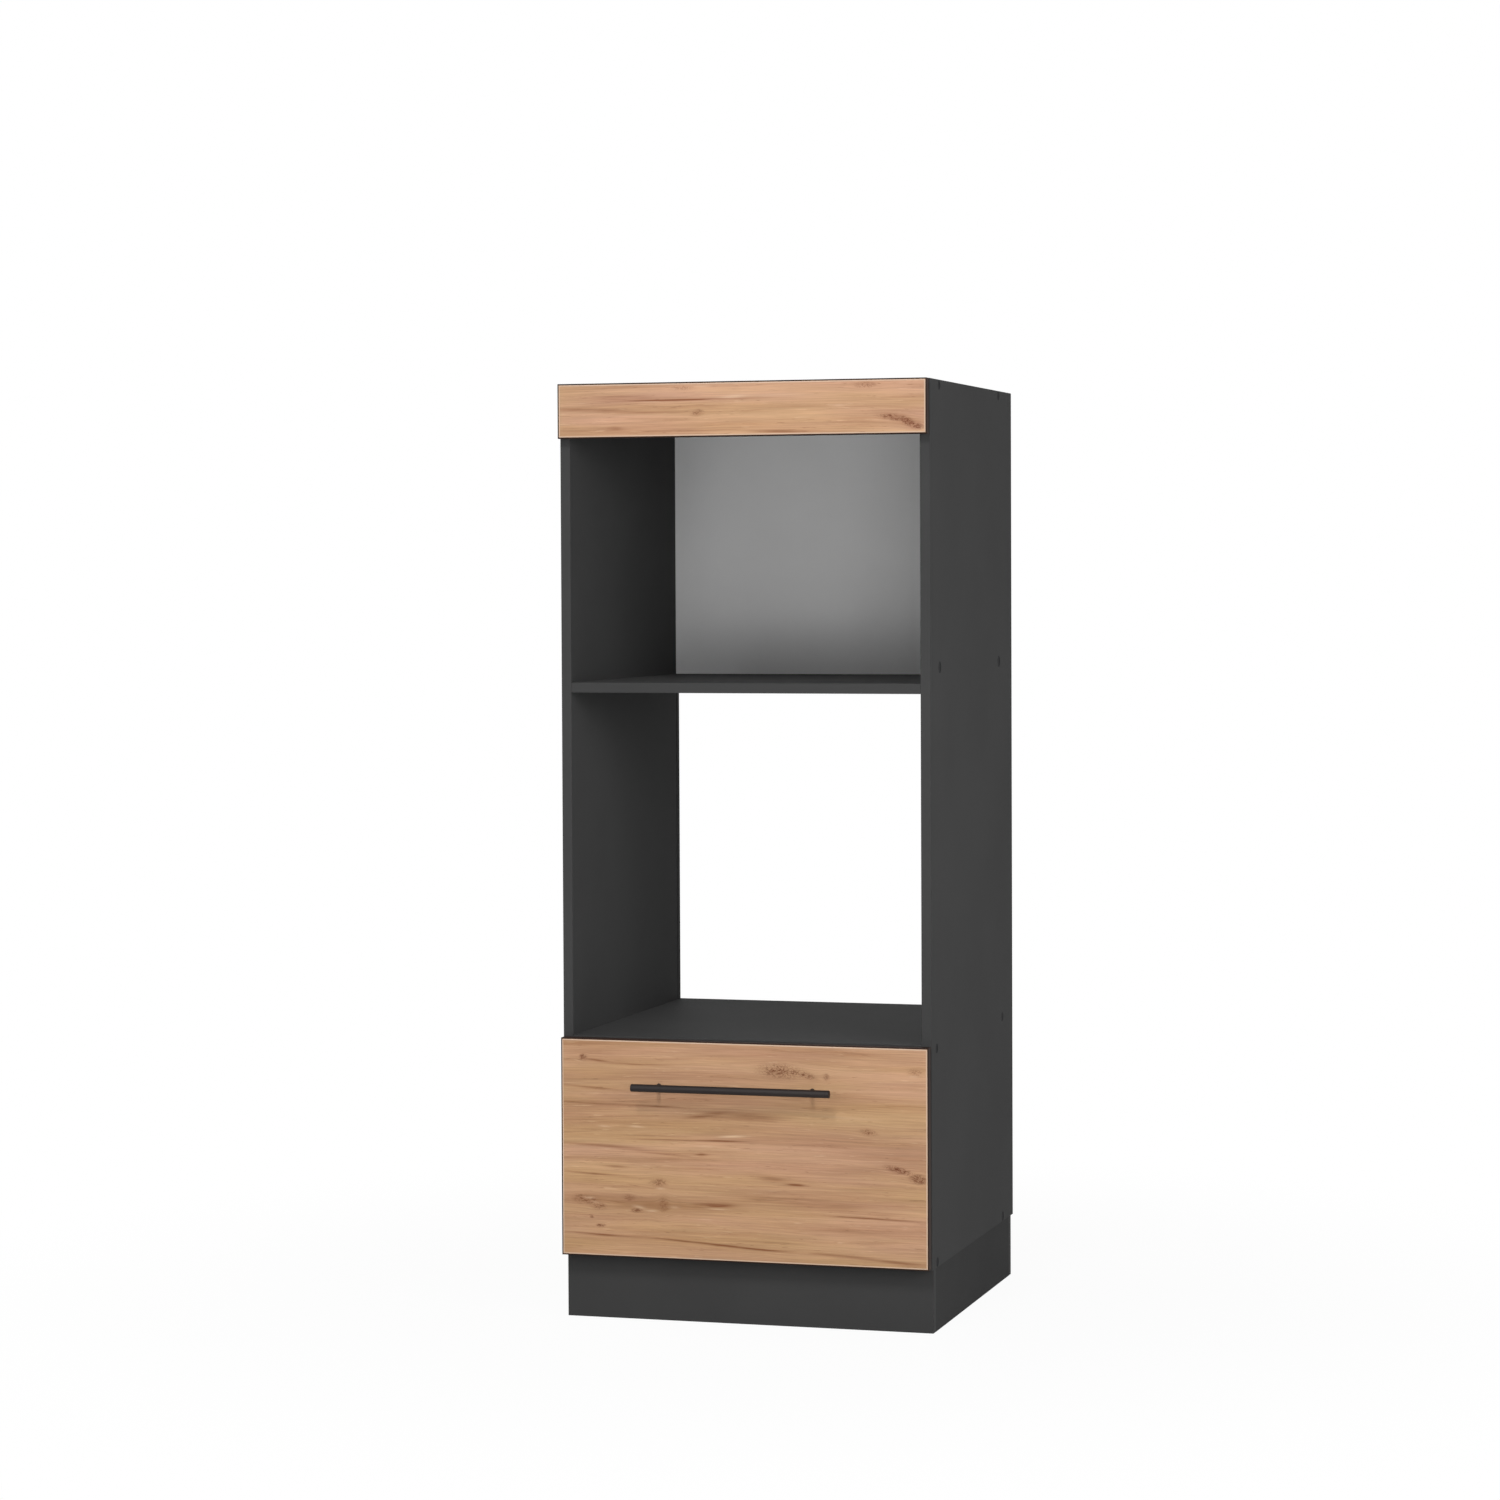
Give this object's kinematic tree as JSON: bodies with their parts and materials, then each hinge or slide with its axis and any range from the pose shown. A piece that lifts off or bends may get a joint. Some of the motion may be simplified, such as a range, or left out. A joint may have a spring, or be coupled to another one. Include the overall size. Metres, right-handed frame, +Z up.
{
  "type": "microwave cabinet",
  "caption": "Tall kitchen cabinet with a closed-back microwave niche, an open oven niche and one deep drawer on runners, on a recessed plinth frame.",
  "frame": {"origin": "on the floor, under the middle of the overall box", "axes": "+Z up; the fronts face -Y; +X to the right-hand side seen from the front"},
  "size_m": [0.6, 0.625, 1.478],
  "materials": {
    "graphite_board": "matt melamine-faced chipboard",
    "oak_board": "fine-grained oak decor, satin",
    "back_board": "lacquered hardboard, matt",
    "drawer_board": "matt melamine-faced chipboard",
    "zinc_steel": "zinc-plated, semi-bright",
    "black_plastic": "moulded",
    "clear_plastic": "soft, smooth",
    "handle_metal": "graphite, satin"
  },
  "bodies": {
    "cabinet": {"side_panel_left": "graphite_board", "side_panel_right": "graphite_board", "top_panel": "graphite_board", "microwave_shelf": "graphite_board", "oven_floor_panel": "graphite_board", "bottom_panel": "graphite_board", "plinth_front": "graphite_board", "plinth_rear": "graphite_board", "plinth_left": "graphite_board", "plinth_right": "graphite_board", "back_panel_upper": "back_board", "back_panel_lower": "back_board", "fascia_panel": "oak_board", "fascia_bracket_left": "zinc_steel", "fascia_bracket_right": "zinc_steel", "runner_outer_left": "zinc_steel", "runner_outer_right": "zinc_steel", "screw_top_left_front": "zinc_steel", "screw_top_left_rear": "zinc_steel", "screw_top_right_front": "zinc_steel", "screw_top_right_rear": "zinc_steel", "screw_oven_floor_left_front": "zinc_steel", "screw_oven_floor_left_rear": "zinc_steel", "screw_oven_floor_right_front": "zinc_steel", "screw_oven_floor_right_rear": "zinc_steel", "screw_bottom_left_front": "zinc_steel", "screw_bottom_left_rear": "zinc_steel", "screw_bottom_right_front": "zinc_steel", "screw_bottom_right_rear": "zinc_steel", "shelf_cam_left_front": "zinc_steel", "shelf_bolt_left_front": "zinc_steel", "hole_plug_left_front": "black_plastic", "shelf_cam_left_rear": "zinc_steel", "shelf_bolt_left_rear": "zinc_steel", "hole_plug_left_rear": "black_plastic", "shelf_cam_right_front": "zinc_steel", "shelf_bolt_right_front": "zinc_steel", "hole_plug_right_front": "black_plastic", "shelf_cam_right_rear": "zinc_steel", "shelf_bolt_right_rear": "zinc_steel", "hole_plug_right_rear": "black_plastic"},
    "drawer": {"drawer_front": "oak_board", "drawer_side_left": "drawer_board", "drawer_side_right": "drawer_board", "drawer_box_front": "drawer_board", "drawer_box_back": "drawer_board", "drawer_bottom": "back_board", "bumper_pad_left": "clear_plastic", "bumper_pad_right": "clear_plastic", "handle_bar": "handle_metal", "handle_post_left": "handle_metal", "handle_post_right": "handle_metal", "front_screw_left": "zinc_steel", "front_screw_right": "zinc_steel", "handle_screw_left": "zinc_steel", "handle_screw_right": "zinc_steel", "runner_inner_left": "zinc_steel", "runner_inner_right": "zinc_steel"},
    "runner_middle_left": {"runner_middle_left": "zinc_steel"},
    "runner_middle_right": {"runner_middle_right": "zinc_steel"}
  },
  "joints": [
    {"name": "drawer_slide", "type": "slide", "parent": "cabinet", "child": "drawer", "axis": [0, -1, 0], "range_m": [0, 0.48]},
    {"name": "runner_slide_left", "type": "slide", "parent": "cabinet", "child": "runner_middle_left", "axis": [0, -1, 0], "range_m": [0, 0.24]},
    {"name": "runner_slide_right", "type": "slide", "parent": "cabinet", "child": "runner_middle_right", "axis": [0, -1, 0], "range_m": [0, 0.24]}
  ],
  "couplings": [
    {"joint": "runner_slide_left", "follows": "drawer_slide", "ratio": 0.5},
    {"joint": "runner_slide_right", "follows": "drawer_slide", "ratio": 0.5}
  ]
}
